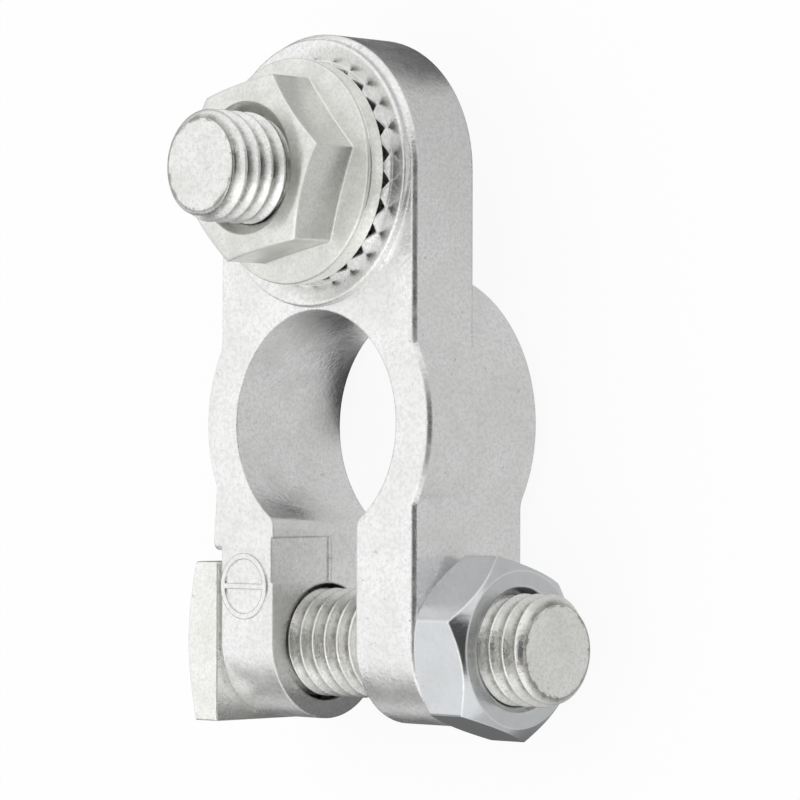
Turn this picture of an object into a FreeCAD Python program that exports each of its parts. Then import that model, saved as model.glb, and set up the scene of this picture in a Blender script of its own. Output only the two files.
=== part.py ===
import FreeCAD, Part
import math
import os
import re

import Sketcher
from FreeCAD import Placement, Rotation, Vector

# Battery terminal clamp, in millimetres.
# The origin is on the axis of the post bore, in the plane of the ring's underside.
# Z is the bore axis and the direction in which the cable stud stands up.
# Y is the long axis, from the clamp bolt to the cable stud.
# X is the axis of the clamp bolt, with its nut on the positive side.

os.makedirs("parts", exist_ok=True)
doc = FreeCAD.newDocument("battery_terminal_clamp")

# Driving dimensions: name, value, what it is.
SIZES = [
    ("body_depth", 11.25, "height of the ring and the jaws along the bore"),
    ("ring_radius", 11.5, "outside of the ring round the post bore"),
    ("bore_base_radius", 8.8, "post bore at the underside, its wide end"),
    ("bore_taper", 9, "length of the bore for each unit that its diameter narrows"),
    ("tab_setback", 1.5, "how far inside the ring's outside the sides of the cable tab run"),
    ("tab_thickness", 5.9, "thickness of the cable tab"),
    ("stud_reach", 6.5, "distance from the ring's outside to the axis of the cable stud"),
    ("boss_margin", 0.4, "strip of the tab left outside the serrated boss"),
    ("boss_height", 1, "height of the serrated ring above the tab"),
    ("boss_rim_height", 0.65, "height of the boss rim above the tab"),
    ("boss_rim_width", 1.6, "strip of the boss outside the serrated ring"),
    ("boss_dish", 0.4, "how far that strip drops from the rim to the serrated ring"),
    ("boss_rim_chamfer", 0.15, "chamfer of the boss rim"),
    ("edge_chamfer", 0.3, "chamfer of the casting's outline"),
    ("corner_blend", 2, "blend where the tab and the plain jaw leave the ring"),
    ("serration_count", 26, "radial grooves in the boss"),
    ("serration_width", 1.3, "width of a square-cut groove at the face of the ring"),
    ("serration_start", 6.4, "radius at which the grooves begin"),
    ("serration_runout", 0.15, "how far the grooves' cutter passes the serrated ring"),
    ("jaw_setback", 1.5, "how far inside the ring's outside the outer faces of the jaws are"),
    ("slot_half_width", 4.3, "half the gap between the jaws"),
    ("slot_corner", 1, "rounding where the gap opens from the bore"),
    ("bolt_reach", 4.4, "distance from the ring's outside to the axis of the clamp bolt"),
    ("bolt_hole_clearance", 0.3, "radial play of the bolt in the jaws"),
    ("ledge_reach", 0.85, "how far the locking ledge stands out from the jaw"),
    ("ledge_start", 4.6, "where the locking ledge leaves the ring"),
    ("ledge_rounding", 0.6, "radius of the locking ledge's nose"),
    ("ledge_gap", 0.85, "play between the locking ledge and the bolt head"),
    ("jaw_recess_depth", 0.2, "depth of the rectangular recess inside the jaw with the head"),
    ("jaw_recess_width", 5.9, "how far that recess runs down from the upper face"),
    ("jaw_recess_length", 3.3, "length of that recess along the jaw"),
    ("jaw_recess_offset", 8.2, "distance from the bore axis to that recess"),
    ("bolt_radius", 4, "outside of the clamp bolt's thread"),
    ("bolt_head_side", 11.7, "side of the square bolt head"),
    ("bolt_head_thickness", 3.2, "thickness of the bolt head"),
    ("bolt_head_slope", 19, "slope of the turned corners of the bolt head in degrees"),
    ("bolt_end_reach", 8.5, "how far the bolt ends beyond the jaw"),
    ("clamp_nut_wall", 2, "clamp nut from the outside of its thread to a flat"),
    ("clamp_nut_thickness", 5, "thickness of the clamp nut"),
    ("clamp_nut_turn", -12, "angle at which the clamp nut came to rest"),
    ("stud_radius", 4, "outside of the cable stud's thread"),
    ("stud_collar_radius", 4.4, "pressed collar of the stud in the tab"),
    ("stud_head_radius", 6.5, "flat head of the stud behind the tab"),
    ("stud_head_thickness", 1.8, "thickness of that head"),
    ("stud_head_chamfer", 0.4, "chamfer round the rim of that head"),
    ("stud_length", 10.25, "free length of the stud above the boss"),
    ("thread_end_chamfer", 0.75, "chamfer at the end of each thread"),
    ("nut_running_gap", 0.05, "radial play between a nut and its thread"),
    ("washer_radius", 8, "outside of the washer"),
    ("washer_hole_gap", 0.25, "radial play of the washer on the stud"),
    ("washer_thickness", 1.4, "thickness of the washer"),
    ("washer_chamfer", 0.15, "chamfer of the washer's outer rims"),
    ("flange_nut_wall", 2, "flange nut from the outside of its thread to a flat"),
    ("flange_nut_height", 4.65, "full height of the flange nut"),
    ("flange_nut_turn", 11, "angle at which the flange nut came to rest"),
    ("flange_overhang", 0.1, "how far the nut's flange reaches out past the washer"),
    ("flange_rim", 0.3, "height of the flange at its rim"),
    ("flange_slope", 10, "slope of the flange in degrees"),
    ("clamp_nut_slope", 45, "slope of the turned corners of the clamp nut in degrees"),
    ("flange_nut_slope", 26, "slope of the turned corners of the flange nut in degrees"),
    ("nut_face_share", 0.95, "turned face of a nut over its width across flats"),
    ("clamp_nut_mouth", 0.4, "width of the countersinks of the clamp nut"),
    ("flange_nut_mouth", 0.7, "width of the countersinks of the flange nut"),
]

# How far a cutting outline reaches past the piece that it cuts.
OVERSHOOT = "1"

# Dimensions that follow from others.
TAB_SIDE = "(ring_radius - tab_setback)"
JAW_SIDE = "(ring_radius - jaw_setback)"
STUD_Y = "(ring_radius + stud_reach)"
BOLT_Y = "-(ring_radius + bolt_reach)"
MIDDLE = "body_depth / 2"
JAW_END = f"({BOLT_Y} - {MIDDLE})"
CLAMP_NUT_FLATS = "(2 * (bolt_radius + clamp_nut_wall))"
FLANGE_NUT_FLATS = "(2 * (stud_radius + flange_nut_wall))"
FLANGE_RADIUS = "(washer_radius + flange_overhang)"
BOSS_RADIUS = f"({TAB_SIDE} - boss_margin)"
SERRATED_RADIUS = f"({BOSS_RADIUS} - boss_rim_width)"

sheet = doc.addObject("Spreadsheet::Sheet", "Sizes")
for row, (alias, number, note) in enumerate(SIZES, start=1):
    sheet.set(f"A{row}", note)
    sheet.set(f"B{row}", str(number))
    sheet.setAlias(f"B{row}", alias)
doc.recompute()

ALIASES = {alias for alias, number, note in SIZES}


def linked(formula):
    """The formula with each size's name made a reference to its cell."""
    return re.sub(
        r"[a-z_]+",
        lambda word: "Sizes." + word.group(0) if word.group(0) in ALIASES else word.group(0),
        formula,
    )


def value(formula):
    """The present value of a formula of sizes."""
    return float(sheet.evalExpression(formula))


def bind(target, **formulas):
    """Ties properties of an object to formulas of sizes."""
    for name, formula in formulas.items():
        target.setExpression(name, linked(formula))


def place(target, x="0", y="0", z="0"):
    """Ties an object's position to formulas of sizes."""
    for axis, formula in (("x", x), ("y", y), ("z", z)):
        if formula != "0":
            target.setExpression(f".Placement.Base.{axis}", linked(formula))


def origin_plane(body, role):
    return next(item for item in body.Origin.OriginFeatures if item.Role == role)


def body_sketch(body, name, plane, rise="0", x="0", y="0"):
    """A sketch on one of a body's origin planes, shifted by formulas of sizes."""
    sketch = body.newObject("Sketcher::SketchObject", name)
    sketch.AttachmentSupport = (origin_plane(body, plane), [""])
    sketch.MapMode = "FlatFace"
    for axis, formula in (("x", x), ("y", y), ("z", rise)):
        if formula != "0":
            sketch.setExpression(f"AttachmentOffset.Base.{axis}", linked(formula))
    return sketch


def fix_coordinate(sketch, kind, item, point, formula):
    """Holds one coordinate of a sketch point at a formula of sizes."""
    index = sketch.addConstraint(Sketcher.Constraint(kind, item, point, value(formula)))
    sketch.setExpression(f"Constraints[{index}]", linked(formula))


def draw_circle(sketch, radius, x="0", y="0"):
    centre = Vector(value(x), value(y), 0)
    item = sketch.addGeometry(Part.Circle(centre, Vector(0, 0, 1), value(radius)), False)
    index = sketch.addConstraint(Sketcher.Constraint("Radius", item, value(radius)))
    sketch.setExpression(f"Constraints[{index}]", linked(radius))
    fix_coordinate(sketch, "DistanceX", item, 3, x)
    fix_coordinate(sketch, "DistanceY", item, 3, y)


def draw_outline(sketch, corners, arcs=None):
    """
    Closes an outline through corners given as pairs of formulas.
    arcs says, for the side that starts at a corner, which point the arc passes through
    and which coordinate of its centre is held: (middle x, middle y, kind, formula).
    """
    arcs = arcs or {}
    spots = [Vector(value(x), value(y), 0) for x, y in corners]
    items = []
    for number, start in enumerate(spots):
        end = spots[(number + 1) % len(spots)]
        if number in arcs:
            middle = Vector(value(arcs[number][0]), value(arcs[number][1]), 0)
            curve = Part.Arc(start, middle, end)
        else:
            curve = Part.LineSegment(start, end)
        items.append(sketch.addGeometry(curve, False))
    # The point numbers of an arc's ends depend on the way it was drawn.
    ends = []
    for number, item in enumerate(items):
        first = sketch.getPoint(item, 1)
        ends.append((1, 2) if first.distanceToPoint(spots[number]) < 1e-6 else (2, 1))
    for number, item in enumerate(items):
        following = (number + 1) % len(items)
        joint = Sketcher.Constraint(
            "Coincident", item, ends[number][1], items[following], ends[following][0]
        )
        sketch.addConstraint(joint)
        fix_coordinate(sketch, "DistanceX", item, ends[number][0], corners[number][0])
        fix_coordinate(sketch, "DistanceY", item, ends[number][0], corners[number][1])
        if number in arcs:
            fix_coordinate(sketch, arcs[number][2], item, 3, arcs[number][3])


def add_feature(body, kind, name, profile=None, **formulas):
    """Adds a feature to a body, makes it the tip and checks that it came out."""
    feature = body.newObject("PartDesign::" + kind, name)
    if profile is not None:
        feature.Profile = profile
        profile.Visibility = False
    bind(feature, **formulas)
    body.Tip = feature
    return feature


def settle(feature, more=None):
    """Recomputes, and checks that a feature gave or took away material as it should."""
    doc.recompute()
    before = feature.BaseFeature.Shape.Volume if feature.BaseFeature else 0
    if feature.Shape.isNull() or not feature.Shape.isValid():
        raise SystemExit(f"{feature.Name} has no valid shape")
    change = feature.Shape.Volume - before
    if more is not None and (change <= 0 if more else change >= 0):
        raise SystemExit(f"{feature.Name} changed the volume by {change:.3f}")
    return feature


def pad(body, name, profile, length, both_ways=False):
    feature = add_feature(body, "Pad", name, profile, Length=length)
    if both_ways:
        feature.SideType = "Symmetric"
    return settle(feature, more=True)


def cut_through(body, name, profile, away=False):
    """Pockets a sketch through the whole body, on the side that away names."""
    feature = add_feature(body, "Pocket", name, profile)
    feature.Type = "ThroughAll"
    feature.Reversed = away
    return settle(feature, more=False)


def chosen_edges(name, base, chosen):
    """The names of the base feature's edges that the function chosen picks."""
    names = [f"Edge{n}" for n, edge in enumerate(base.Shape.Edges, start=1) if chosen(edge)]
    if not names:
        raise SystemExit(f"{name} finds no edge")
    return names


def round_edges(body, name, base, chosen, radius):
    """Rounds the edges of the base feature that the function chosen picks."""
    feature = add_feature(body, "Fillet", name, Radius=radius)
    feature.Base = (base, chosen_edges(name, base, chosen))
    return settle(feature)


def break_edges(body, name, base, chosen, width):
    """Chamfers the edges of the base feature that the function chosen picks."""
    feature = add_feature(body, "Chamfer", name, Size=width)
    feature.Base = (base, chosen_edges(name, base, chosen))
    return settle(feature)


def near(first, second):
    return abs(first - second) < 1e-4


def lies_at(edge, axis, level):
    """Whether the whole edge lies in the plane where the axis has this value."""
    low, high = edge.BoundBox.getPoint(0)[axis], edge.BoundBox.getPoint(6)[axis]
    return abs(low - level) < 1e-3 and abs(high - level) < 1e-3


def clamp_body():
    """The casting: ring, cable tab with its serrated boss, and the two jaws."""
    body = doc.addObject("PartDesign::Body", "ClampBody")
    body.Label = "clamp_body"

    ring = body_sketch(body, "RingOutline", "XY_Plane")
    draw_circle(ring, "ring_radius")
    pad(body, "Ring", ring, "body_depth")

    tab = body_sketch(body, "TabOutline", "XY_Plane", rise="body_depth - tab_thickness")
    draw_outline(
        tab,
        [
            (TAB_SIDE, "0"),
            (TAB_SIDE, STUD_Y),
            (f"-{TAB_SIDE}", STUD_Y),
            (f"-{TAB_SIDE}", "0"),
        ],
        {1: ("0", f"{STUD_Y} + {TAB_SIDE}", "DistanceY", STUD_Y)},
    )
    pad(body, "Tab", tab, "tab_thickness")

    # The jaws' side view: Y runs along the sketch and Z up it.
    jaws = body_sketch(body, "JawOutline", "YZ_Plane")
    draw_outline(
        jaws,
        [
            ("0", "0"),
            ("0", "body_depth"),
            (BOLT_Y, "body_depth"),
            (BOLT_Y, "0"),
        ],
        {2: (JAW_END, MIDDLE, "DistanceX", BOLT_Y)},
    )
    pad(body, "Jaws", jaws, f"2 * {JAW_SIDE}", both_ways=True)

    # The ledge beside the bolt head, which keeps the head from turning.
    ledge = body_sketch(body, "LedgeOutline", "XY_Plane")
    foot = f"({BOLT_Y} + bolt_head_side / 2 + ledge_gap)"
    outer = f"-({JAW_SIDE} + ledge_reach)"
    shoulder = "-sqrt(ring_radius ^ 2 - ledge_start ^ 2)"
    draw_outline(
        ledge,
        [
            (f"-slot_half_width - {OVERSHOOT}", "-ledge_start"),
            (shoulder, "-ledge_start"),
            (outer, f"{foot} + ledge_rounding"),
            (f"{outer} + ledge_rounding", foot),
            (f"-slot_half_width - {OVERSHOOT}", foot),
        ],
        {
            2: (
                f"{outer} + ledge_rounding * (1 - cos(45))",
                f"{foot} + ledge_rounding * (1 - cos(45))",
                "DistanceX",
                f"{outer} + ledge_rounding",
            )
        },
    )
    solid = pad(body, "Ledge", ledge, "body_depth")

    depth = value("body_depth")
    turning = value(BOLT_Y)
    side = value(JAW_SIDE)
    ring_size = value("ring_radius")

    def at_ring_corner(edge):
        box = edge.BoundBox
        upright = box.XLength < 1e-3 and box.YLength < 1e-3
        on_side = near(abs(box.XMin), side) or near(abs(box.XMin), value(TAB_SIDE))
        return upright and on_side and near(math.hypot(box.XMin, box.YMin), ring_size)

    solid = round_edges(body, "CornerBlend", solid, at_ring_corner, "corner_blend")

    def on_outline(edge):
        flat = lies_at(edge, 2, 0) or lies_at(edge, 2, depth)
        seam = lies_at(edge, 1, turning)
        rim = lies_at(edge, 0, side) or lies_at(edge, 0, -side)
        return (flat and not seam) or (rim and edge.BoundBox.YMax < turning + 1e-3)

    solid = break_edges(body, "OutlineChamfer", solid, on_outline, "edge_chamfer")

    # The boss starts inside the tab, so that it stands over the rounded outline.
    boss = body_sketch(
        body, "BossOutline", "XY_Plane", rise="body_depth - tab_thickness / 2", y=STUD_Y
    )
    draw_circle(boss, BOSS_RADIUS)
    pad(body, "Boss", boss, "tab_thickness / 2 + boss_height")

    # One square-cut groove, laid on its edge in the face, and its copies round the stud.
    face = "body_depth + boss_height"
    groove = body.newObject("PartDesign::SubtractiveBox", "Serration")
    bind(
        groove,
        Length="serration_width / sqrt(2)",
        Width=f"{SERRATED_RADIUS} + serration_runout - serration_start",
        Height="serration_width / sqrt(2)",
    )
    groove.AttachmentSupport = (origin_plane(body, "XY_Plane"), [""])
    groove.MapMode = "FlatFace"
    groove.AttachmentOffset = Placement(Vector(), Rotation(Vector(0, 1, 0), -45))
    groove.setExpression("AttachmentOffset.Base.y", linked(f"{STUD_Y} + serration_start"))
    groove.setExpression("AttachmentOffset.Base.z", linked(f"{face} - serration_width / 2"))
    body.Tip = groove
    settle(groove, more=False)

    grooves = body.newObject("PartDesign::PolarPattern", "Serrations")
    grooves.Originals = [groove]
    grooves.Axis = (boss, ["N_Axis"])
    grooves.Angle = 360
    bind(grooves, Occurrences="serration_count")
    body.Tip = grooves
    settle(grooves, more=False)

    # Outside the serrated ring the boss is turned down and dished.
    strip = body_sketch(body, "BossStrip", "XZ_Plane", rise=f"-{STUD_Y}")
    rim = "body_depth + boss_rim_height"
    draw_outline(
        strip,
        [
            (SERRATED_RADIUS, f"{rim} - boss_dish"),
            (BOSS_RADIUS, rim),
            (f"{BOSS_RADIUS} + {OVERSHOOT}", rim),
            (f"{BOSS_RADIUS} + {OVERSHOOT}", f"{face} + {OVERSHOOT}"),
            (SERRATED_RADIUS, f"{face} + {OVERSHOOT}"),
        ],
    )
    turned = add_feature(body, "Groove", "BossTurning", strip)
    turned.ReferenceAxis = (strip, ["V_Axis"])
    turned.Angle = 360
    solid = settle(turned, more=False)
    crest = value(rim)
    break_edges(
        body, "BossRim", solid, lambda edge: lies_at(edge, 2, crest), "boss_rim_chamfer"
    )

    # The tapered post bore, turned about Z, wide end down.
    bore = body_sketch(body, "BoreProfile", "XZ_Plane")
    above = f"body_depth + {OVERSHOOT}"
    draw_outline(
        bore,
        [
            ("0", f"-{OVERSHOOT}"),
            (f"bore_base_radius + {OVERSHOOT} / (2 * bore_taper)", f"-{OVERSHOOT}"),
            (f"bore_base_radius - ({above}) / (2 * bore_taper)", above),
            ("0", above),
        ],
    )
    turned = add_feature(body, "Groove", "PostBore", bore)
    turned.ReferenceAxis = (bore, ["V_Axis"])
    turned.Angle = 360
    settle(turned, more=False)

    slot = body_sketch(body, "SlotOutline", "XY_Plane")
    end = f"{JAW_END} - {OVERSHOOT}"
    draw_outline(
        slot,
        [
            ("slot_half_width", "0"),
            ("slot_half_width", end),
            ("-slot_half_width", end),
            ("-slot_half_width", "0"),
        ],
    )
    solid = cut_through(body, "Slot", slot, away=True)

    reach = value("bore_base_radius")
    gap = value("slot_half_width")

    def at_slot_mouth(edge):
        box = edge.BoundBox
        upright = box.ZLength > depth - 1e-3
        beside = near(abs(box.XMin), gap) and near(abs(box.XMax), gap)
        return upright and beside and -reach < box.YMin and box.YMax < 0

    round_edges(body, "SlotMouth", solid, at_slot_mouth, "slot_corner")

    hole = body_sketch(
        body, "BoltHole", "YZ_Plane", rise=f"-{JAW_SIDE} - ledge_reach - {OVERSHOOT}"
    )
    draw_circle(hole, "bolt_radius + bolt_hole_clearance", BOLT_Y, MIDDLE)
    cut_through(body, "BoltPassage", hole, away=True)

    # The shallow rectangle inside the jaw that carries the bolt head.
    recess = body_sketch(body, "RecessOutline", "YZ_Plane", rise="-slot_half_width")
    floor = "body_depth - jaw_recess_width"
    far = "-(jaw_recess_offset + jaw_recess_length)"
    draw_outline(
        recess,
        [
            ("-jaw_recess_offset", above),
            ("-jaw_recess_offset", floor),
            (far, floor),
            (far, above),
        ],
    )
    feature = add_feature(body, "Pocket", "JawRecess", recess, Length="jaw_recess_depth")
    settle(feature, more=False)

    seat = body_sketch(body, "StudSeat", "XY_Plane", y=STUD_Y)
    draw_circle(seat, "stud_collar_radius")
    cut_through(body, "StudPassage", seat, away=True)
    return body


def profile_sketch(name, corners):
    """A free sketch in the XZ plane of a turned piece: distance from the axis, then height."""
    sketch = doc.addObject("Sketcher::SketchObject", name)
    sketch.Placement = Placement(Vector(), Rotation(Vector(1, 0, 0), 90))
    draw_outline(sketch, corners)
    sketch.Visibility = False
    return sketch


def turned_piece(name, corners):
    """A solid turned about Z from the outline through the corners."""
    turned = doc.addObject("Part::Revolution", name)
    turned.Source = profile_sketch(name + "Profile", corners)
    turned.Axis = Vector(0, 0, 1)
    turned.Base = Vector(0, 0, 0)
    turned.Angle = 360
    turned.Solid = True
    return turned


def combine(kind, name, base, tool):
    result = doc.addObject("Part::" + kind, name)
    result.Base = base
    result.Tool = tool
    return result


def hexagon(name, flats, height, turn):
    """A hexagonal bar along Z whose size is given across the flats."""
    bar = doc.addObject("Part::Prism", name)
    bar.Polygon = 6
    bind(bar, Circumradius=f"{flats} / sqrt(3)", Height=height)
    bar.Placement = Placement(Vector(), Rotation(Vector(0, 0, 1), value(turn)))
    bar.setExpression(".Placement.Rotation.Angle", linked(turn))
    return bar


def threaded_bore(name, radius, length, mouth):
    """The hole of a nut, with a countersink at both mouths."""
    wide = f"{radius} + {mouth}"
    return turned_piece(
        name,
        [
            ("0", "0"),
            (wide, "0"),
            (radius, mouth),
            (radius, f"{length} - {mouth}"),
            (wide, length),
            ("0", length),
        ],
    )


def clamp_nut():
    """The hexagon nut outside the jaw, turned on both faces. It is built along Z."""
    face = f"{CLAMP_NUT_FLATS} / 2 * nut_face_share"
    widest = f"{CLAMP_NUT_FLATS} / sqrt(3) + {OVERSHOOT}"
    drop = f"({widest} - {face}) * tan(clamp_nut_slope)"
    blank = turned_piece(
        "ClampNutBlank",
        [
            ("0", "0"),
            (face, "0"),
            (widest, drop),
            (widest, f"clamp_nut_thickness - {drop}"),
            (face, "clamp_nut_thickness"),
            ("0", "clamp_nut_thickness"),
        ],
    )
    bar = hexagon("ClampNutBar", CLAMP_NUT_FLATS, "clamp_nut_thickness", "clamp_nut_turn")
    solid = combine("Common", "ClampNutSolid", bar, blank)
    bore = threaded_bore(
        "ClampNutBore", "bolt_radius + nut_running_gap", "clamp_nut_thickness", "clamp_nut_mouth"
    )
    nut = combine("Cut", "ClampNut", solid, bore)
    nut.Label = "clamp_nut"
    nut.Placement = Placement(Vector(), Rotation(Vector(0, 1, 0), 90))
    place(nut, x=JAW_SIDE, y=BOLT_Y, z=MIDDLE)
    return nut


def flange_nut():
    """The hexagon nut of the cable stud, in one piece with its sloping flange."""
    face = f"{FLANGE_NUT_FLATS} / 2 * nut_face_share"
    widest = f"{FLANGE_NUT_FLATS} / sqrt(3) + {OVERSHOOT}"
    drop = f"({widest} - {face}) * tan(flange_nut_slope)"
    blank = turned_piece(
        "FlangeNutBlank",
        [
            ("0", "0"),
            (widest, "0"),
            (widest, f"flange_nut_height - {drop}"),
            (face, "flange_nut_height"),
            ("0", "flange_nut_height"),
        ],
    )
    bar = hexagon("FlangeNutBar", FLANGE_NUT_FLATS, "flange_nut_height", "flange_nut_turn")
    solid = combine("Common", "FlangeNutSolid", bar, blank)
    rise = f"flange_rim + ({FLANGE_RADIUS} - stud_radius) * tan(flange_slope)"
    flange = turned_piece(
        "Flange",
        [
            ("0", "0"),
            (FLANGE_RADIUS, "0"),
            (FLANGE_RADIUS, "flange_rim"),
            ("stud_radius", rise),
            ("0", rise),
        ],
    )
    whole = combine("Fuse", "FlangeNutWhole", solid, flange)
    bore = threaded_bore(
        "FlangeNutBore", "stud_radius + nut_running_gap", "flange_nut_height", "flange_nut_mouth"
    )
    nut = combine("Cut", "FlangeNut", whole, bore)
    nut.Label = "flange_nut"
    place(nut, y=STUD_Y, z="body_depth + boss_height + washer_thickness")
    return nut


def clamp_bolt():
    """The square-headed bolt through both jaws, built along Z from under its head."""
    head = doc.addObject("Part::Box", "BoltHeadBlock")
    bind(head, Length="bolt_head_side", Width="bolt_head_side", Height="bolt_head_thickness")
    place(head, "-bolt_head_side / 2", "-bolt_head_side / 2", "-bolt_head_thickness")
    face = "bolt_head_side / 2 * nut_face_share"
    widest = f"bolt_head_side / sqrt(2) + {OVERSHOOT}"
    drop = f"({widest} - {face}) * tan(bolt_head_slope)"
    blank = turned_piece(
        "BoltHeadBlank",
        [
            ("0", "-bolt_head_thickness"),
            (face, "-bolt_head_thickness"),
            (widest, f"{drop} - bolt_head_thickness"),
            (widest, "0"),
            ("0", "0"),
        ],
    )
    turned_head = combine("Common", "BoltHead", head, blank)
    length = f"2 * {JAW_SIDE} + bolt_end_reach"
    shank = turned_piece(
        "BoltShank",
        [
            ("0", "-bolt_head_thickness / 2"),
            ("bolt_radius", "-bolt_head_thickness / 2"),
            ("bolt_radius", f"{length} - thread_end_chamfer"),
            ("bolt_radius - thread_end_chamfer", length),
            ("0", length),
        ],
    )
    bolt = combine("Fuse", "ClampBolt", turned_head, shank)
    bolt.Label = "clamp_bolt"
    bolt.Placement = Placement(Vector(), Rotation(Vector(0, 1, 0), 90))
    place(bolt, x=f"-{JAW_SIDE}", y=BOLT_Y, z=MIDDLE)
    return bolt


def cable_stud():
    """The stud pressed into the tab: flat head behind, collar in the tab, thread above."""
    seat = "body_depth - tab_thickness"
    face = "body_depth + boss_height"
    stud = turned_piece(
        "CableStud",
        [
            ("0", f"{seat} - stud_head_thickness"),
            ("stud_head_radius - stud_head_chamfer", f"{seat} - stud_head_thickness"),
            ("stud_head_radius", f"{seat} - stud_head_thickness + stud_head_chamfer"),
            ("stud_head_radius", seat),
            ("stud_collar_radius", seat),
            ("stud_collar_radius", face),
            ("stud_radius", face),
            ("stud_radius", f"{face} + stud_length - thread_end_chamfer"),
            ("stud_radius - thread_end_chamfer", f"{face} + stud_length"),
            ("0", f"{face} + stud_length"),
        ],
    )
    stud.Label = "cable_stud"
    place(stud, y=STUD_Y)
    return stud


def stud_washer():
    """The plain washer between the boss and the flange nut."""
    inner = "stud_radius + washer_hole_gap"
    washer = turned_piece(
        "StudWasher",
        [
            (inner, "0"),
            ("washer_radius - washer_chamfer", "0"),
            ("washer_radius", "washer_chamfer"),
            ("washer_radius", "washer_thickness - washer_chamfer"),
            ("washer_radius - washer_chamfer", "washer_thickness"),
            (inner, "washer_thickness"),
        ],
    )
    washer.Label = "stud_washer"
    place(washer, y=STUD_Y, z="body_depth + boss_height")
    return washer


PIECES = [clamp_body(), clamp_bolt(), clamp_nut(), cable_stud(), stud_washer(), flange_nut()]
doc.recompute()

for item in doc.Objects:
    if {"Invalid", "Error"} & set(item.State):
        raise SystemExit(f"{item.Name} is {item.State}")
for piece in PIECES:
    shape = piece.Shape
    if shape.isNull() or not shape.isValid() or len(shape.Solids) != 1:
        raise SystemExit(f"{piece.Label} isn't one valid solid")

for piece in PIECES:
    piece.Shape.exportStep(f"parts/{piece.Label}.step")
    print(f"{piece.Label}: {piece.Shape.Volume:.1f} mm3")
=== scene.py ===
import math

import bpy
from mathutils import Matrix, Vector


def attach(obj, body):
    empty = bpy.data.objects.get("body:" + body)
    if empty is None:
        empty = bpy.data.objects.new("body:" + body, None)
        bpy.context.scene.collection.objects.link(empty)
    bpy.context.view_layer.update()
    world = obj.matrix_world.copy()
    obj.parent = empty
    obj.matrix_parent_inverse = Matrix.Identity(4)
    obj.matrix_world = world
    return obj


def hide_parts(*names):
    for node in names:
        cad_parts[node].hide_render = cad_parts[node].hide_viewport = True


# Battery terminal clamp. Everything is in metres, in the frame of the CAD model:
# Z along the post bore, Y towards the cable stud, X along the clamp bolt towards its nut.
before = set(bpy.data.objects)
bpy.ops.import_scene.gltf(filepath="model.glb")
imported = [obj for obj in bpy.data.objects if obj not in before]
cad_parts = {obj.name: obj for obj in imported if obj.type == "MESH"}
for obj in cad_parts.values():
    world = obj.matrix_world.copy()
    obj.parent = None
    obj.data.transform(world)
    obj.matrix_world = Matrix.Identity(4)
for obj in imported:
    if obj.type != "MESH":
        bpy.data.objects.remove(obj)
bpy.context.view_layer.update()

MM = 0.001

# The two screws.
PITCH = 1.25 * MM
CREST = 3.97 * MM
THREAD_DEPTH = 0.74 * MM
NUT_PLAY = 0.07 * MM
TIP_CHAMFER = 0.75 * MM
TURN_STEPS = 48
CUT_TOLERANCE = 1e-8
MERGE_DISTANCE = 0.002 * MM

# One pitch of the rolled thread: share of the pitch, share of the depth.
THREAD_FORM = (
    (0.00, 0.00),
    (0.08, 0.03),
    (0.15, 0.14),
    (0.38, 0.84),
    (0.43, 0.96),
    (0.50, 1.00),
    (0.57, 0.96),
    (0.62, 0.84),
    (0.85, 0.14),
    (0.92, 0.03),
    (1.00, 0.00),
)

# Places that the pieces share, in millimetres.
BODY_DEPTH = 11.25
JAW_SIDE = 10
BOLT_Y = -15.9
BOLT_Z = BODY_DEPTH / 2
BOLT_TIP = 28.5
HEAD_SIDE = 11.7
HEAD_THICKNESS = 3.2
STUD_Y = 18
STUD_FOOT = 3.55
STUD_TIP = 22.5
BOSS_TOP = 12.25
NUT_SEAT = 13.65

# Heights at which the crests of the two threads pass the X side of their own axes. Between
# the jaws the crest passes the viewer's side half a turn from there.
BOLT_CREST = JAW_SIDE - 3.775
STUD_CREST = STUD_TIP - 0.8

# The turned face of a nut or a bolt head, over its width across the flats.
FACE_SHARE = 0.95

# Radii beyond the corners of a hexagon and of a square, over the width across the flats.
PAST_HEXAGON = 0.6
PAST_SQUARE = 0.75

ROUND_STEPS = 96
BLANK_STEPS = 144

# Curves are shaded smoothly up to these angles, in degrees.
SMOOTH_ANGLE = 35
SCREW_SMOOTH_ANGLE = 32


def select_only(piece):
    if bpy.context.object and bpy.context.object.mode != "OBJECT":
        bpy.ops.object.mode_set(mode="OBJECT")
    bpy.ops.object.select_all(action="DESELECT")
    piece.select_set(True)
    bpy.context.view_layer.objects.active = piece


def settle(piece):
    """Puts a piece's place, turn and size into its mesh."""
    select_only(piece)
    bpy.ops.object.transform_apply(location=True, rotation=True, scale=True)
    return piece


def move(piece, matrix):
    """Turns and moves a piece's mesh."""
    piece.matrix_world = matrix
    return settle(piece)


def apply_modifier(piece, modifier):
    select_only(piece)
    bpy.ops.object.modifier_apply(modifier=modifier.name)


def combine(piece, tool, operation):
    """Cuts, joins or keeps the common part of two closed pieces."""
    modifier = piece.modifiers.new("combine", "BOOLEAN")
    modifier.operation = operation
    modifier.solver = "MANIFOLD"
    modifier.object = tool
    apply_modifier(piece, modifier)
    bpy.data.objects.remove(tool)
    if not piece.data.polygons:
        raise SystemExit(f"{piece.name}: nothing is left of it")
    return piece


def pick(piece, wanted):
    """In edit mode, selects the faces that the function picks by centre and normal."""
    bpy.ops.mesh.select_mode(type="FACE")
    bpy.ops.mesh.select_all(action="DESELECT")
    bpy.ops.object.mode_set(mode="OBJECT")
    for face in piece.data.polygons:
        face.select = wanted(face.center, face.normal)
    bpy.ops.object.mode_set(mode="EDIT")


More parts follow.
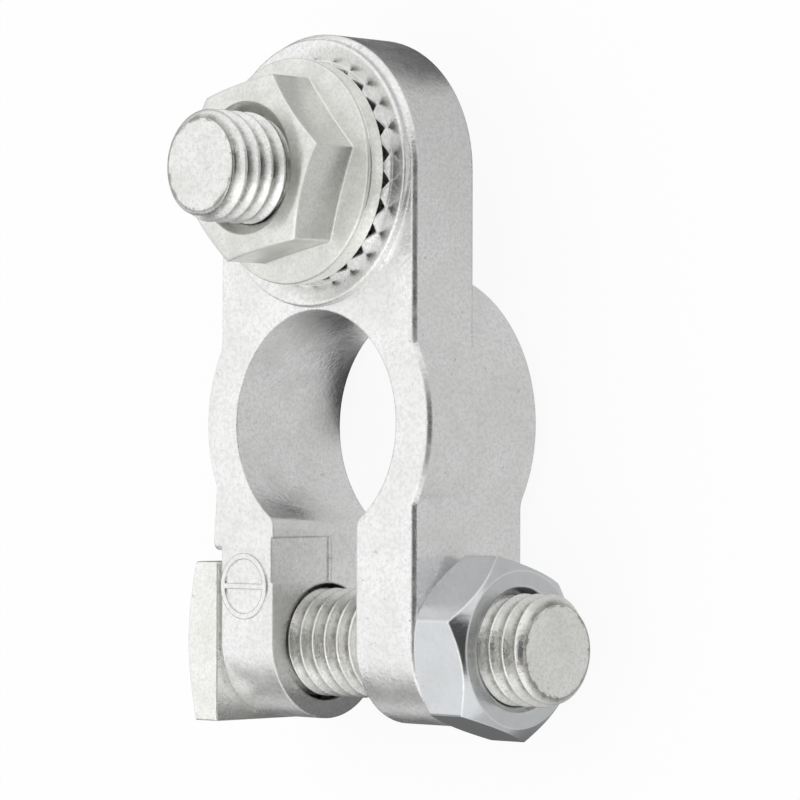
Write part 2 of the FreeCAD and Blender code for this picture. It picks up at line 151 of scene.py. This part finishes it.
def round_bar(name, radius, low, high, steps=ROUND_STEPS):
    """A closed round bar about Z, from one height to another, in millimetres."""
    bpy.ops.mesh.primitive_cylinder_add(
        vertices=steps,
        radius=radius * MM,
        depth=(high - low) * MM,
        location=(0, 0, (low + high) / 2 * MM),
    )
    piece = bpy.context.object
    piece.name = name
    return settle(piece)


def taper_end(piece, up, length, radius, old_radius):
    """Draws one end face of a bar out by a length, to another radius, in millimetres."""
    sign = 1 if up else -1
    select_only(piece)
    bpy.ops.object.mode_set(mode="EDIT")
    pick(piece, lambda centre, normal: normal.z * sign > 0.9)
    bpy.ops.mesh.extrude_region_move(
        TRANSFORM_OT_translate={"value": (0, 0, sign * length * MM)}
    )
    share = radius / old_radius
    bpy.ops.transform.resize(value=(share, share, 1), center_override=(0, 0, 0))
    # Only the width is resized: the height comes from the extrusion.
    bpy.ops.object.mode_set(mode="OBJECT")


def soften(piece, width, steps=3, angle=25):
    """Rounds the sharp edges of a piece by a width in millimetres."""
    modifier = piece.modifiers.new("soften", "BEVEL")
    modifier.width = width * MM
    modifier.segments = steps
    modifier.limit_method = "ANGLE"
    modifier.angle_limit = math.radians(angle)
    modifier.use_clamp_overlap = True
    apply_modifier(piece, modifier)


def smooth(piece, angle=SMOOTH_ANGLE):
    """Shades curves smoothly, and keeps the flats flat up to their rounded edges."""
    select_only(piece)
    bpy.ops.object.shade_smooth_by_angle(angle=math.radians(angle))
    weights = piece.modifiers.new("flats", "WEIGHTED_NORMAL")
    weights.keep_sharp = True
    weights.weight = 100
    apply_modifier(piece, weights)
    return piece


def thread(name, crest, low, high, crest_height):
    """
    A closed right-hand thread about Z between two heights in millimetres.
    crest is its outer radius in metres, and crest_height a height at which the crest
    passes the X side.
    """
    bpy.ops.mesh.primitive_plane_add(size=PITCH)
    piece = bpy.context.object
    piece.name = name
    bpy.ops.object.mode_set(mode="EDIT")
    bpy.ops.mesh.delete(type="ONLY_FACE")
    bpy.ops.object.mode_set(mode="OBJECT")
    for corner in piece.data.vertices:
        corner.select = corner.co.x < 0
    bpy.ops.object.mode_set(mode="EDIT")
    bpy.ops.mesh.delete(type="VERT")
    bpy.ops.mesh.select_all(action="SELECT")
    bpy.ops.mesh.subdivide(number_cuts=len(THREAD_FORM) - 2)
    bpy.ops.object.mode_set(mode="OBJECT")

    # The form is laid along Z, with its crest half a pitch up, and starts well below.
    pitch = PITCH / MM
    turns_below = math.ceil((crest_height - low) / pitch + 1.5)
    first = (crest_height - turns_below * pitch) * MM - PITCH / 2
    chain = sorted(piece.data.vertices, key=lambda point: point.co.y)
    for point, (along, raised) in zip(chain, THREAD_FORM):
        point.co = (crest - THREAD_DEPTH * (1 - raised), 0, first + along * PITCH)
    screw = piece.modifiers.new("turns", "SCREW")
    screw.axis = "Z"
    screw.angle = 2 * math.pi
    screw.screw_offset = PITCH
    screw.iterations = math.ceil((high * MM - first) / PITCH) + 1
    screw.steps = TURN_STEPS
    screw.render_steps = TURN_STEPS
    apply_modifier(piece, screw)

    select_only(piece)
    bpy.ops.object.mode_set(mode="EDIT")
    bpy.ops.mesh.select_all(action="SELECT")
    bpy.ops.mesh.remove_doubles(threshold=MERGE_DISTANCE)
    bpy.ops.mesh.bisect(
        plane_co=(0, 0, low * MM),
        plane_no=(0, 0, 1),
        use_fill=True,
        clear_inner=True,
        threshold=CUT_TOLERANCE,
    )
    bpy.ops.mesh.select_all(action="SELECT")
    bpy.ops.mesh.bisect(
        plane_co=(0, 0, high * MM),
        plane_no=(0, 0, 1),
        use_fill=True,
        clear_outer=True,
        threshold=CUT_TOLERANCE,
    )
    bpy.ops.mesh.select_all(action="SELECT")
    bpy.ops.mesh.normals_make_consistent(inside=False)
    bpy.ops.object.mode_set(mode="OBJECT")
    return piece


def screw_end(name, low, high, crest_height):
    """A threaded bar with a rounded chamfer at its upper end, in millimetres."""
    stock = round_bar(name + "_stock", CREST / MM, low, high)
    select_only(stock)
    bpy.ops.object.mode_set(mode="EDIT")
    pick(stock, lambda centre, normal: normal.z > 0.9)
    bpy.ops.mesh.bevel(
        offset=TIP_CHAMFER, offset_type="OFFSET", segments=4, profile=0.4, affect="EDGES"
    )
    bpy.ops.object.mode_set(mode="OBJECT")
    piece = thread(name, CREST, low - 1, high + 1, crest_height)
    return combine(piece, stock, "INTERSECT")


def chamfered_blank(name, flats, widest, low, high, slope, both=False):
    """
    The turned blank that takes the corners off a nut or a bolt head, at one end or at both,
    in millimetres and degrees. flats is the width across the flats.
    """
    face = flats / 2 * FACE_SHARE
    drop = (widest - face) * math.tan(math.radians(slope))
    foot = low + drop if both else low
    blank = round_bar(name, widest, foot, high - drop, steps=BLANK_STEPS)
    taper_end(blank, True, drop, face, widest)
    if both:
        taper_end(blank, False, drop, face, widest)
    return blank


def hexagon(name, flats, low, high, turn):
    """A hexagonal bar about Z, whose size is given across its flats in millimetres."""
    bar = round_bar(name, flats / math.sqrt(3), low, high, steps=6)
    # The primitive starts with a corner on Y, and the bar with one on X.
    return move(bar, Matrix.Rotation(math.radians(turn - 90), 4, "Z"))


def cut_thread(nut, low, high, mouth, crest_height):
    """Cuts the thread and both countersinks of a nut, in millimetres."""
    bore = CREST + NUT_PLAY
    tap = thread("tap", bore, low - 2, high + 2, crest_height)
    combine(nut, tap, "DIFFERENCE")
    for up, level in ((True, high), (False, low)):
        sign = 1 if up else -1
        wide = bore / MM + mouth
        bottom, top = sorted((level, level + sign))
        cone = round_bar("countersink", wide, bottom, top)
        taper_end(cone, not up, mouth, wide - mouth, wide)
        taper_end(cone, not up, mouth, wide - 2 * mouth, wide - mouth)
        combine(nut, cone, "DIFFERENCE")


def along_bolt(piece):
    """Lays a piece that was made about Z along the clamp bolt, head at the left jaw."""
    turn = Matrix.Rotation(math.radians(90), 4, "Y")
    place = Matrix.Translation((-JAW_SIDE * MM, BOLT_Y * MM, BOLT_Z * MM))
    return move(piece, place @ turn)


def on_stud(piece):
    return move(piece, Matrix.Translation((0, STUD_Y * MM, 0)))


def make_bolt():
    """The bolt: square head with turned corners and a rolled thread."""
    bpy.ops.mesh.primitive_cube_add(
        size=1,
        location=(0, 0, -HEAD_THICKNESS / 2 * MM),
        scale=(HEAD_SIDE * MM, HEAD_SIDE * MM, HEAD_THICKNESS * MM),
    )
    head = bpy.context.object
    head.name = "square_head_bolt"
    settle(head)
    widest = HEAD_SIDE * PAST_SQUARE
    blank = chamfered_blank("head_blank", HEAD_SIDE, widest, -1, HEAD_THICKNESS, slope=19)
    move(blank, Matrix.Rotation(math.pi, 4, "X"))
    combine(head, blank, "INTERSECT")
    soften(head, 0.14)
    shank = screw_end("bolt_thread", -HEAD_THICKNESS / 2, BOLT_TIP, BOLT_CREST)
    combine(head, shank, "UNION")
    return smooth(along_bolt(head), SCREW_SMOOTH_ANGLE)


def make_clamp_nut():
    """The hexagon nut outside the right jaw."""
    flats, thickness, mouth = 11.7, 5, 0.4
    low, high = 2 * JAW_SIDE, 2 * JAW_SIDE + thickness
    nut = hexagon("clamp_bolt_nut", flats, low, high, turn=-18)
    soften(nut, 0.12)
    widest = flats * PAST_HEXAGON
    blank = chamfered_blank("nut_blank", flats, widest, low, high, slope=40, both=True)
    combine(nut, blank, "INTERSECT")
    cut_thread(nut, low, high, mouth, BOLT_CREST)
    return smooth(along_bolt(nut), SCREW_SMOOTH_ANGLE)


def make_flange_nut():
    """The hexagon nut of the cable stud with its sloping flange."""
    flats, height, mouth = 12, 4.65, 0.7
    flange, rim, fall = 8.1, 0.3, 10
    low, high = NUT_SEAT, NUT_SEAT + height
    nut = hexagon("flanged_nut", flats, low, high, turn=11)
    soften(nut, 0.12)
    widest = flats * PAST_HEXAGON
    blank = chamfered_blank("nut_blank", flats, widest, low, high, slope=26)
    combine(nut, blank, "INTERSECT")
    skirt = round_bar("skirt", flange, low, low + rim)
    rise = (flange - CREST / MM) * math.tan(math.radians(fall))
    taper_end(skirt, True, rise, CREST / MM, flange)
    soften(skirt, 0.12)
    combine(nut, skirt, "UNION")
    cut_thread(nut, low, high, mouth, STUD_CREST)
    return smooth(on_stud(nut), SCREW_SMOOTH_ANGLE)


def make_stud():
    """The stud: flat head behind the tab, plain collar in it and a rolled thread."""
    head_radius, head_thickness, collar_radius = 6.5, 1.8, 4.38
    seat = STUD_FOOT + head_thickness
    stud = round_bar("threaded_stud", head_radius, STUD_FOOT, seat)
    soften(stud, 0.35)
    collar = round_bar("collar", collar_radius, seat - 0.5, BOSS_TOP - 0.02)
    combine(stud, collar, "UNION")
    shank = screw_end("stud_thread", seat, STUD_TIP, STUD_CREST)
    combine(stud, shank, "UNION")
    return smooth(on_stud(stud), SCREW_SMOOTH_ANGLE)


def make_polarity_mark():
    """The circled minus sign, cast in low relief on the left jaw."""
    outer, inner, bar = 2.42, 1.98, 0.42
    across, along = -7.3, -11.8
    foot, top = BODY_DEPTH - 0.2, BODY_DEPTH + 0.1
    ring = round_bar("minus_mark", outer, foot, top)
    hole = round_bar("hole", inner, foot - 1, top + 1)
    combine(ring, hole, "DIFFERENCE")
    bpy.ops.mesh.primitive_cube_add(
        size=1,
        location=(0, 0, (foot + top) / 2 * MM),
        scale=((outer + inner) * MM, bar * MM, (top - foot) * MM),
    )
    stroke = settle(bpy.context.object)
    combine(ring, stroke, "UNION")
    soften(ring, 0.04)
    return smooth(move(ring, Matrix.Translation((across * MM, along * MM, 0))))


# Materials. A noise is given by its features a metre, its detail and its roughness.
EDGE_SAMPLES = 6
CAST_BLOTCHES = (300, 4, 0.6)
CAST_FLECKS = (1500, 4, 0.7)
CAST_GRAIN = (3600, 3, 0.65)
CAST_WAVES = (600, 3, 0.55)
PLATE_PATCHES = (420, 4, 0.6)
PLATE_NICKS = (1300, 4, 0.7)
PLATE_RIPPLE = (2200, 3, 0.6)
PLATE_PITS = (2400, 4, 0.7)
PLATE_GRAIN = (4200, 3, 0.65)

TIN = (0.93, 0.93, 0.925)
DULL_TIN = (0.88, 0.88, 0.87)
TIN_GRAIN = (0.68, 0.68, 0.68)
TIN_FLECK = (0.52, 0.52, 0.52)
# A dark colour blended along the edges of the cast mark.
EDGE_DARKENING = (0.3, 0.3, 0.29)
PLATE_GREY = (0.58, 0.58, 0.56)
PLATE_PIT = (0.42, 0.42, 0.40)
# The colour of the painted shade in the roots of the threads.
PAINTED_ROOT_SHADE = (0.3, 0.29, 0.26)
NICK_DIRT = (0.3, 0.3, 0.28)
# The colour of a painted highlight along the edges of the zinc pieces.
PAINTED_EDGE_HIGHLIGHT = (0.96, 0.96, 0.94)


def empty_material(name):
    """A new material with nothing but its output, and what is needed to build it."""
    material = bpy.data.materials.new(name)
    material.use_nodes = True
    nodes, links = material.node_tree.nodes, material.node_tree.links
    nodes.clear()
    return material, nodes, links, nodes.new("ShaderNodeOutputMaterial").inputs["Surface"]


def metal(name):
    """A new metal, its nodes and links, its shader's inputs and a piece's coordinates."""
    material, nodes, links, surface = empty_material(name)
    shader = nodes.new("ShaderNodeBsdfPrincipled")
    shader.inputs["Metallic"].default_value = 1
    links.new(shader.outputs["BSDF"], surface)
    return material, nodes, links, shader.inputs, nodes.new("ShaderNodeTexCoord")


def noise(nodes, links, place, scale, detail, rough):
    """A noise on a piece's own coordinates."""
    texture = nodes.new("ShaderNodeTexNoise")
    texture.inputs["Scale"].default_value = scale
    texture.inputs["Detail"].default_value = detail
    texture.inputs["Roughness"].default_value = rough
    links.new(place.outputs["Object"], texture.inputs["Vector"])
    return texture.outputs["Fac"]


def spread(nodes, links, value, low, high, to_low, to_high):
    """Maps one range of a value smoothly to another."""
    node = nodes.new("ShaderNodeMapRange")
    node.interpolation_type = "SMOOTHSTEP"
    node.inputs["From Min"].default_value = low
    node.inputs["From Max"].default_value = high
    node.inputs["To Min"].default_value = to_low
    node.inputs["To Max"].default_value = to_high
    links.new(value, node.inputs["Value"])
    return node.outputs["Result"]


def blend_colours(nodes, links, share, first, second):
    """Blends a second colour over a first by a share. A colour is a value or a socket."""
    node = nodes.new("ShaderNodeMix")
    node.data_type = "RGBA"
    for socket, colour in ((node.inputs[6], first), (node.inputs[7], second)):
        if isinstance(colour, tuple):
            socket.default_value = (*colour, 1)
        else:
            links.new(colour, socket)
    links.new(share, node.inputs[0])
    return node.outputs[2]


def bump(nodes, links, height, distance, strength, below):
    """Bumps of a depth in millimetres over another normal."""
    node = nodes.new("ShaderNodeBump")
    node.inputs["Distance"].default_value = distance * MM
    node.inputs["Strength"].default_value = strength
    links.new(height, node.inputs["Height"])
    links.new(below, node.inputs["Normal"])
    return node.outputs["Normal"]


def distance_from(nodes, links, place, axis, through):
    """The distance of a point of a piece from a line along one axis, through a point in mm."""
    mapping = nodes.new("ShaderNodeMapping")
    mapping.inputs["Location"].default_value = [-value * MM for value in through]
    links.new(place.outputs["Object"], mapping.inputs["Vector"])
    across = nodes.new("ShaderNodeVectorMath")
    across.operation = "MULTIPLY"
    across.inputs[1].default_value = [0 if name == axis else 1 for name in "XYZ"]
    links.new(mapping.outputs["Vector"], across.inputs[0])
    length = nodes.new("ShaderNodeVectorMath")
    length.operation = "LENGTH"
    links.new(across.outputs["Vector"], length.inputs[0])
    return length.outputs["Value"]


def height_along(nodes, links, place, axis):
    """The coordinate of a point of a piece along one axis, in metres."""
    parts = nodes.new("ShaderNodeSeparateXYZ")
    links.new(place.outputs["Object"], parts.inputs["Vector"])
    return parts.outputs[axis]


def product(nodes, links, *values):
    """The product of several values."""
    total = values[0]
    for value in values[1:]:
        both = nodes.new("ShaderNodeMath")
        both.operation = "MULTIPLY"
        links.new(total, both.inputs[0])
        links.new(value, both.inputs[1])
        total = both.outputs[0]
    return total


def rounded_edges(nodes, links, width, colour, share, base):
    """
    Rounds the look of the edges by a width in millimetres, and blends a colour over the base
    along them. Returns the rounded normal and the new base.
    """
    edge = nodes.new("ShaderNodeBevel")
    edge.samples = EDGE_SAMPLES
    edge.inputs["Radius"].default_value = width * MM
    surface = nodes.new("ShaderNodeNewGeometry")
    alike = nodes.new("ShaderNodeVectorMath")
    alike.operation = "DOT_PRODUCT"
    links.new(edge.outputs["Normal"], alike.inputs[0])
    links.new(surface.outputs["Normal"], alike.inputs[1])
    along = spread(nodes, links, alike.outputs["Value"], 0.95, 0.998, share, 0)
    return edge.outputs["Normal"], blend_colours(nodes, links, along, base, colour)


def tinned_casting(name, rounding, edge_darkening):
    """
    Tin plate over a rough casting: fine grain, small dark flecks and dull blotches.
    rounding is the width of its soft edges in millimetres, and edge_darkening how much a dark
    colour is blended along them.
    """
    material, nodes, links, inputs, place = metal(name)
    blotch = noise(nodes, links, place, *CAST_BLOTCHES)
    grain = noise(nodes, links, place, *CAST_GRAIN)
    fleck = noise(nodes, links, place, *CAST_FLECKS)
    dull = spread(nodes, links, blotch, 0.38, 0.66, 0, 1)
    grey = spread(nodes, links, grain, 0.36, 0.60, 0.5, 0)
    flecked = spread(nodes, links, fleck, 0.62, 0.72, 0, 0.7)
    base = blend_colours(nodes, links, dull, TIN, DULL_TIN)
    base = blend_colours(nodes, links, grey, base, TIN_GRAIN)
    base = blend_colours(nodes, links, flecked, base, TIN_FLECK)
    normal, base = rounded_edges(nodes, links, rounding, EDGE_DARKENING, edge_darkening, base)
    links.new(base, inputs["Base Color"])
    links.new(spread(nodes, links, blotch, 0.3, 0.7, 0.22, 0.36), inputs["Roughness"])
    waves = noise(nodes, links, place, *CAST_WAVES)
    normal = bump(nodes, links, waves, 0.07, 0.6, normal)
    links.new(bump(nodes, links, grain, 0.03, 0.8, normal), inputs["Normal"])
    return material


def paint_thread_shade_and_nicks(nodes, links, place, base, axis, through, start):
    """Paints shade into the roots of a thread, and nicks the edge of the flat end inside it."""
    inside = CREST - TIP_CHAMFER
    away = distance_from(nodes, links, place, axis, through)
    height = height_along(nodes, links, place, axis)
    past = spread(nodes, links, height, start * MM, (start + 0.3) * MM, 0, 1)
    # Painted shade, darker towards the roots of the thread.
    root = spread(nodes, links, away, CREST - THREAD_DEPTH, CREST - 0.3 * THREAD_DEPTH, 0.75, 0)
    # The flat end stays bright.
    end = spread(nodes, links, away, inside, CREST - 0.99 * THREAD_DEPTH, 0, 1)
    base = blend_colours(nodes, links, product(nodes, links, root, end, past), base, PAINTED_ROOT_SHADE)
    rim = spread(nodes, links, away, inside - 0.22 * MM, inside - 0.02 * MM, 0, 1)
    outside = spread(nodes, links, away, inside + 0.1 * MM, inside + 0.45 * MM, 1, 0)
    nick = spread(nodes, links, noise(nodes, links, place, *PLATE_NICKS), 0.48, 0.58, 0, 0.85)
    nicked = product(nodes, links, nick, rim, outside, past)
    return blend_colours(nodes, links, nicked, base, NICK_DIRT)


def zinc_plate(
    name, bright, dull, low, high, depth=0.006, pits=0.4, speckle=0.15, crease=0.1, edge_highlight=0.6,
    thread_line=None,
):
    """
    Bright zinc plate on steel, with dull patches, a fine ripple and small dark pits. low and
    high are the ends of its roughness, and depth is that of the ripple in millimetres.
    speckle is the strength of a fine grey grain.
    crease is the width of the rounded edges in millimetres, and edge_highlight how bright the
    painted highlight along them is.
    thread_line names the axis of a thread, a point of it and the height where the thread
    starts, in millimetres, for painted shade in its roots and nicks at its end.
    """
    material, nodes, links, inputs, place = metal(name)
    patch = noise(nodes, links, place, *PLATE_PATCHES)
    ripple = noise(nodes, links, place, *PLATE_RIPPLE)
    fine = noise(nodes, links, place, *PLATE_GRAIN)
    patched = spread(nodes, links, patch, 0.38, 0.68, 0, 1)
    grey = spread(nodes, links, fine, 0.38, 0.58, speckle, 0)
    base = blend_colours(nodes, links, patched, bright, dull)
    base = blend_colours(nodes, links, grey, base, PLATE_GREY)
    if thread_line:
        base = paint_thread_shade_and_nicks(nodes, links, place, base, *thread_line)
    pit = noise(nodes, links, place, *PLATE_PITS)
    pitted = spread(nodes, links, pit, 0.62, 0.72, 0, pits)
    base = blend_colours(nodes, links, pitted, base, PLATE_PIT)
    # A painted highlight blended along the edges, convex and concave alike.
    normal, base = rounded_edges(nodes, links, crease, PAINTED_EDGE_HIGHLIGHT, edge_highlight, base)
    links.new(base, inputs["Base Color"])
    links.new(spread(nodes, links, patch, 0.3, 0.7, low, high), inputs["Roughness"])
    normal = bump(nodes, links, pit, 4 * depth, pits, normal)
    links.new(bump(nodes, links, ripple, depth, 1, normal), inputs["Normal"])
    return material


def dress(piece, material, body, slot, *stands_for):
    """Gives a piece its material, its body and the CAD nodes that it replaces; slot is not
    used.
    """
    piece.data.materials.clear()
    piece.data.materials.append(material)
    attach(piece, body)
    if stands_for:
        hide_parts(*stands_for)


casting = tinned_casting("tinned_casting", 0.24, 0)
cast_mark = tinned_casting("cast_mark", 0.12, 0.85)
bolt_zinc = zinc_plate(
    "bolt_zinc", (0.95, 0.95, 0.925), (0.88, 0.88, 0.84), 0.24, 0.38, depth=0.014, pits=0.7,
    speckle=0.3, crease=0.12, thread_line=("X", (0, BOLT_Y, BOLT_Z), -JAW_SIDE),
)
nut_zinc = zinc_plate(
    "nut_zinc", (0.69, 0.71, 0.73), (0.65, 0.665, 0.68), 0.14, 0.22, depth=0.008,
    crease=0.2, edge_highlight=0.9,
)
stud_zinc = zinc_plate(
    "stud_zinc", (0.88, 0.88, 0.875), (0.81, 0.81, 0.79), 0.2, 0.34, depth=0.010, pits=0.5,
    speckle=0.4, crease=0.12, thread_line=("Z", (0, STUD_Y, 0), BOSS_TOP),
)
flange_zinc = zinc_plate(
    "flange_zinc", (0.84, 0.84, 0.815), (0.74, 0.74, 0.71), 0.28, 0.38, depth=0.010,
    speckle=0.4, crease=0.2, edge_highlight=0.9,
)
washer_zinc = zinc_plate(
    "washer_zinc", (0.90, 0.90, 0.86), (0.80, 0.80, 0.76), 0.2, 0.3, speckle=0.3,
)

for name, material in (("clamp_body", casting), ("stud_washer", washer_zinc)):
    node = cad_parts[name]
    node.data.materials.clear()
    node.data.materials.append(material)

dress(make_bolt(), bolt_zinc, "bolt", "bolt_steel", "clamp_bolt")
dress(make_clamp_nut(), nut_zinc, "bolt_nut", "nut_steel", "clamp_nut")
dress(make_stud(), stud_zinc, "casting", "stud_steel", "cable_stud")
dress(make_flange_nut(), flange_zinc, "stud_nut", "flange_nut_steel", "flange_nut")
dress(make_polarity_mark(), cast_mark, "casting", "casting")

# Stage: a pale floor under the lowest corner, and soft light.
FLOOR_Z = -1.3 * MM
FLOOR_SIDE = 4
FLOOR_TONE = 0.9
FLOOR_GLOW = 0.9
CARD_SIDE = 1.2
CARD_LIFT = 0.1 * MM
GRID_CUTS = 4

# The tone that a glowing card paints for the table in reflections, and its pools of painted
# shade: centre and reach of an ellipse in millimetres, and how much darker its middle is. An
# ellipse is full inside the first share of its reach and gone outside the second.
TABLE_TONE = 0.63
POOL_EDGE = (0.6, 1.3)
TABLE_SHADES = (
    ((-3, 34), (13, 8), 0.8),
    ((12, 27), (14, 14), 0.12),
    ((-6, -27), (24, 11), 0.74),
    ((-9.5, 3), (4, 4), 0.9),
    ((-41, 5), (24, 50), 0.7),
)


def seen_directly(nodes, links):
    """1 for rays of the camera, of reflections and of transmission, and 0 for the rest."""
    path = nodes.new("ShaderNodeLightPath")
    total = path.outputs["Is Camera Ray"]
    for other in ("Is Glossy Ray", "Is Transmission Ray"):
        larger = nodes.new("ShaderNodeMath")
        larger.operation = "MAXIMUM"
        links.new(total, larger.inputs[0])
        links.new(path.outputs[other], larger.inputs[1])
        total = larger.outputs[0]
    return total


def flat_grid(name, side, height=0):
    """A square grid about the origin, with its sides and its height in metres."""
    bpy.ops.mesh.primitive_grid_add(
        x_subdivisions=GRID_CUTS, y_subdivisions=GRID_CUTS, size=side, location=(0, 0, height)
    )
    grid = bpy.context.object
    grid.name = name
    return settle(grid)


def scaled(nodes, links, value, factor):
    """A value times a fixed factor."""
    node = nodes.new("ShaderNodeMath")
    node.operation = "MULTIPLY"
    node.inputs[1].default_value = factor
    links.new(value, node.inputs[0])
    return node.outputs[0]


def make_floor():
    """The floor: matt, with a glow where it is seen directly or in the object."""
    floor = flat_grid("floor", FLOOR_SIDE, FLOOR_Z)
    material, nodes, links, surface = empty_material("pale_floor")
    matt = nodes.new("ShaderNodeBsdfDiffuse")
    matt.inputs["Color"].default_value = (FLOOR_TONE, FLOOR_TONE, FLOOR_TONE, 1)
    glow = nodes.new("ShaderNodeEmission")
    glow.inputs["Color"].default_value = (1, 1, 1, 1)
    mix = nodes.new("ShaderNodeMixShader")
    links.new(scaled(nodes, links, seen_directly(nodes, links), FLOOR_GLOW), mix.inputs[0])
    links.new(matt.outputs[0], mix.inputs[1])
    links.new(glow.outputs[0], mix.inputs[2])
    links.new(mix.outputs[0], surface)
    floor.data.materials.append(material)


def only_reflected(card):
    """Leaves a stage card to reflections alone."""
    card.visible_camera = False
    card.visible_diffuse = False
    card.visible_shadow = False
    card.visible_transmission = False
    card.visible_volume_scatter = False


def pool(nodes, links, place, centre, reach):
    """1 in the middle of an ellipse, 0 outside it; centre and reach in millimetres."""
    mapping = nodes.new("ShaderNodeMapping")
    mapping.vector_type = "TEXTURE"
    mapping.inputs["Location"].default_value = (centre[0] * MM, centre[1] * MM, 0)
    mapping.inputs["Scale"].default_value = (reach[0] * MM, reach[1] * MM, 1)
    links.new(place.outputs["Object"], mapping.inputs["Vector"])
    length = nodes.new("ShaderNodeVectorMath")
    length.operation = "LENGTH"
    links.new(mapping.outputs["Vector"], length.inputs[0])
    return spread(nodes, links, length.outputs["Value"], *POOL_EDGE, 1, 0)


def make_table_card():
    """A glowing card seen only in reflections: a painted reflection of the grey table top, with
    painted shade past both ends of the clamp.
    """
    card = flat_grid("table_card", CARD_SIDE, FLOOR_Z + CARD_LIFT)
    material, nodes, links, surface = empty_material("painted_table_reflection")
    glow = nodes.new("ShaderNodeEmission")
    place = nodes.new("ShaderNodeTexCoord")
    shades = [
        spread(nodes, links, pool(nodes, links, place, centre, reach), 0, 1, 1, 1 - depth)
        for centre, reach, depth in TABLE_SHADES
    ]
    tone = scaled(nodes, links, product(nodes, links, *shades), TABLE_TONE)
    links.new(tone, glow.inputs["Strength"])
    links.new(glow.outputs[0], surface)
    card.data.materials.append(material)
    only_reflected(card)


def make_card(name, place, size, tone):
    """A plain card of one tone that faces the object, for its reflections, in millimetres."""
    card = flat_grid(name, 1)
    facing = Vector(place).to_track_quat("Z", "Y").to_matrix().to_4x4()
    spot = Matrix.Translation([value * MM for value in place])
    move(card, spot @ facing @ Matrix.Diagonal((size[0] * MM, size[1] * MM, 1, 1)))
    material, nodes, links, surface = empty_material(name + "_tone")
    glow = nodes.new("ShaderNodeEmission")
    glow.inputs["Color"].default_value = (tone, tone, tone, 1)
    glow.inputs["Strength"].default_value = 1
    links.new(glow.outputs[0], surface)
    card.data.materials.append(material)
    only_reflected(card)


def make_world():
    """An even white light from all round."""
    world = bpy.data.worlds.new("studio")
    bpy.context.scene.world = world
    world.use_nodes = True
    nodes, links = world.node_tree.nodes, world.node_tree.links
    nodes.clear()
    output = nodes.new("ShaderNodeOutputWorld")
    white = nodes.new("ShaderNodeBackground")
    white.inputs["Color"].default_value = (1, 1, 1, 1)
    white.inputs["Strength"].default_value = 1
    links.new(white.outputs[0], output.inputs["Surface"])


def make_lamp(name, place, size, power):
    """A square soft lamp that looks at the object, in metres and watts."""
    data = bpy.data.lights.new(name, "AREA")
    data.size = size
    data.energy = power
    lamp = bpy.data.objects.new(name, data)
    bpy.context.scene.collection.objects.link(lamp)
    lamp.location = place
    lamp.rotation_euler = Vector(place).to_track_quat("Z", "Y").to_euler()


# The camera of the photograph, from a fit to the outlines of the casting: its place in
# metres, its turns in radians, its focal length in pixels and its sensor in millimetres.
CAMERA_PLACE = (0.2041634, -0.0040386, 0.2104632)
CAMERA_TURN = 0.7761643
CAMERA_RISE = -0.0201985
CAMERA_ROLL = 0.0022523
FOCAL_PIXELS = 3972.895
PHOTO_SIDE = 800
SENSOR = 36


def make_camera():
    """The photograph's camera, turned about Y, then raised, then rolled."""
    across, rise = math.sin(CAMERA_TURN), math.sin(CAMERA_RISE)
    level = math.cos(CAMERA_RISE)
    back = Vector((across * level, rise, math.cos(CAMERA_TURN) * level))
    right = Vector((0, 1, 0)).cross(back).normalized()
    up = back.cross(right)
    tilt, upright = math.sin(CAMERA_ROLL), math.cos(CAMERA_ROLL)
    right, up = upright * right + tilt * up, upright * up - tilt * right
    data = bpy.data.cameras.new("camera")
    data.sensor_width = SENSOR
    data.lens = FOCAL_PIXELS / PHOTO_SIDE * SENSOR
    data.clip_start = 0.01
    data.clip_end = 20
    camera = bpy.data.objects.new("camera", data)
    bpy.context.scene.collection.objects.link(camera)
    turn = Matrix((right, up, back)).transposed().to_4x4()
    camera.matrix_world = Matrix.Translation(CAMERA_PLACE) @ turn
    bpy.context.scene.camera = camera


make_camera()
make_floor()
make_table_card()
make_card("camera_card", place=(255, 0, 178), size=(280, 280), tone=0.08)
make_card("front_card", place=(-250, -260, 80), size=(300, 240), tone=0.35)
make_world()
make_lamp("key", place=(0.05, -0.22, 0.42), size=0.2, power=0.1)
bpy.context.scene.view_settings.view_transform = "Standard"
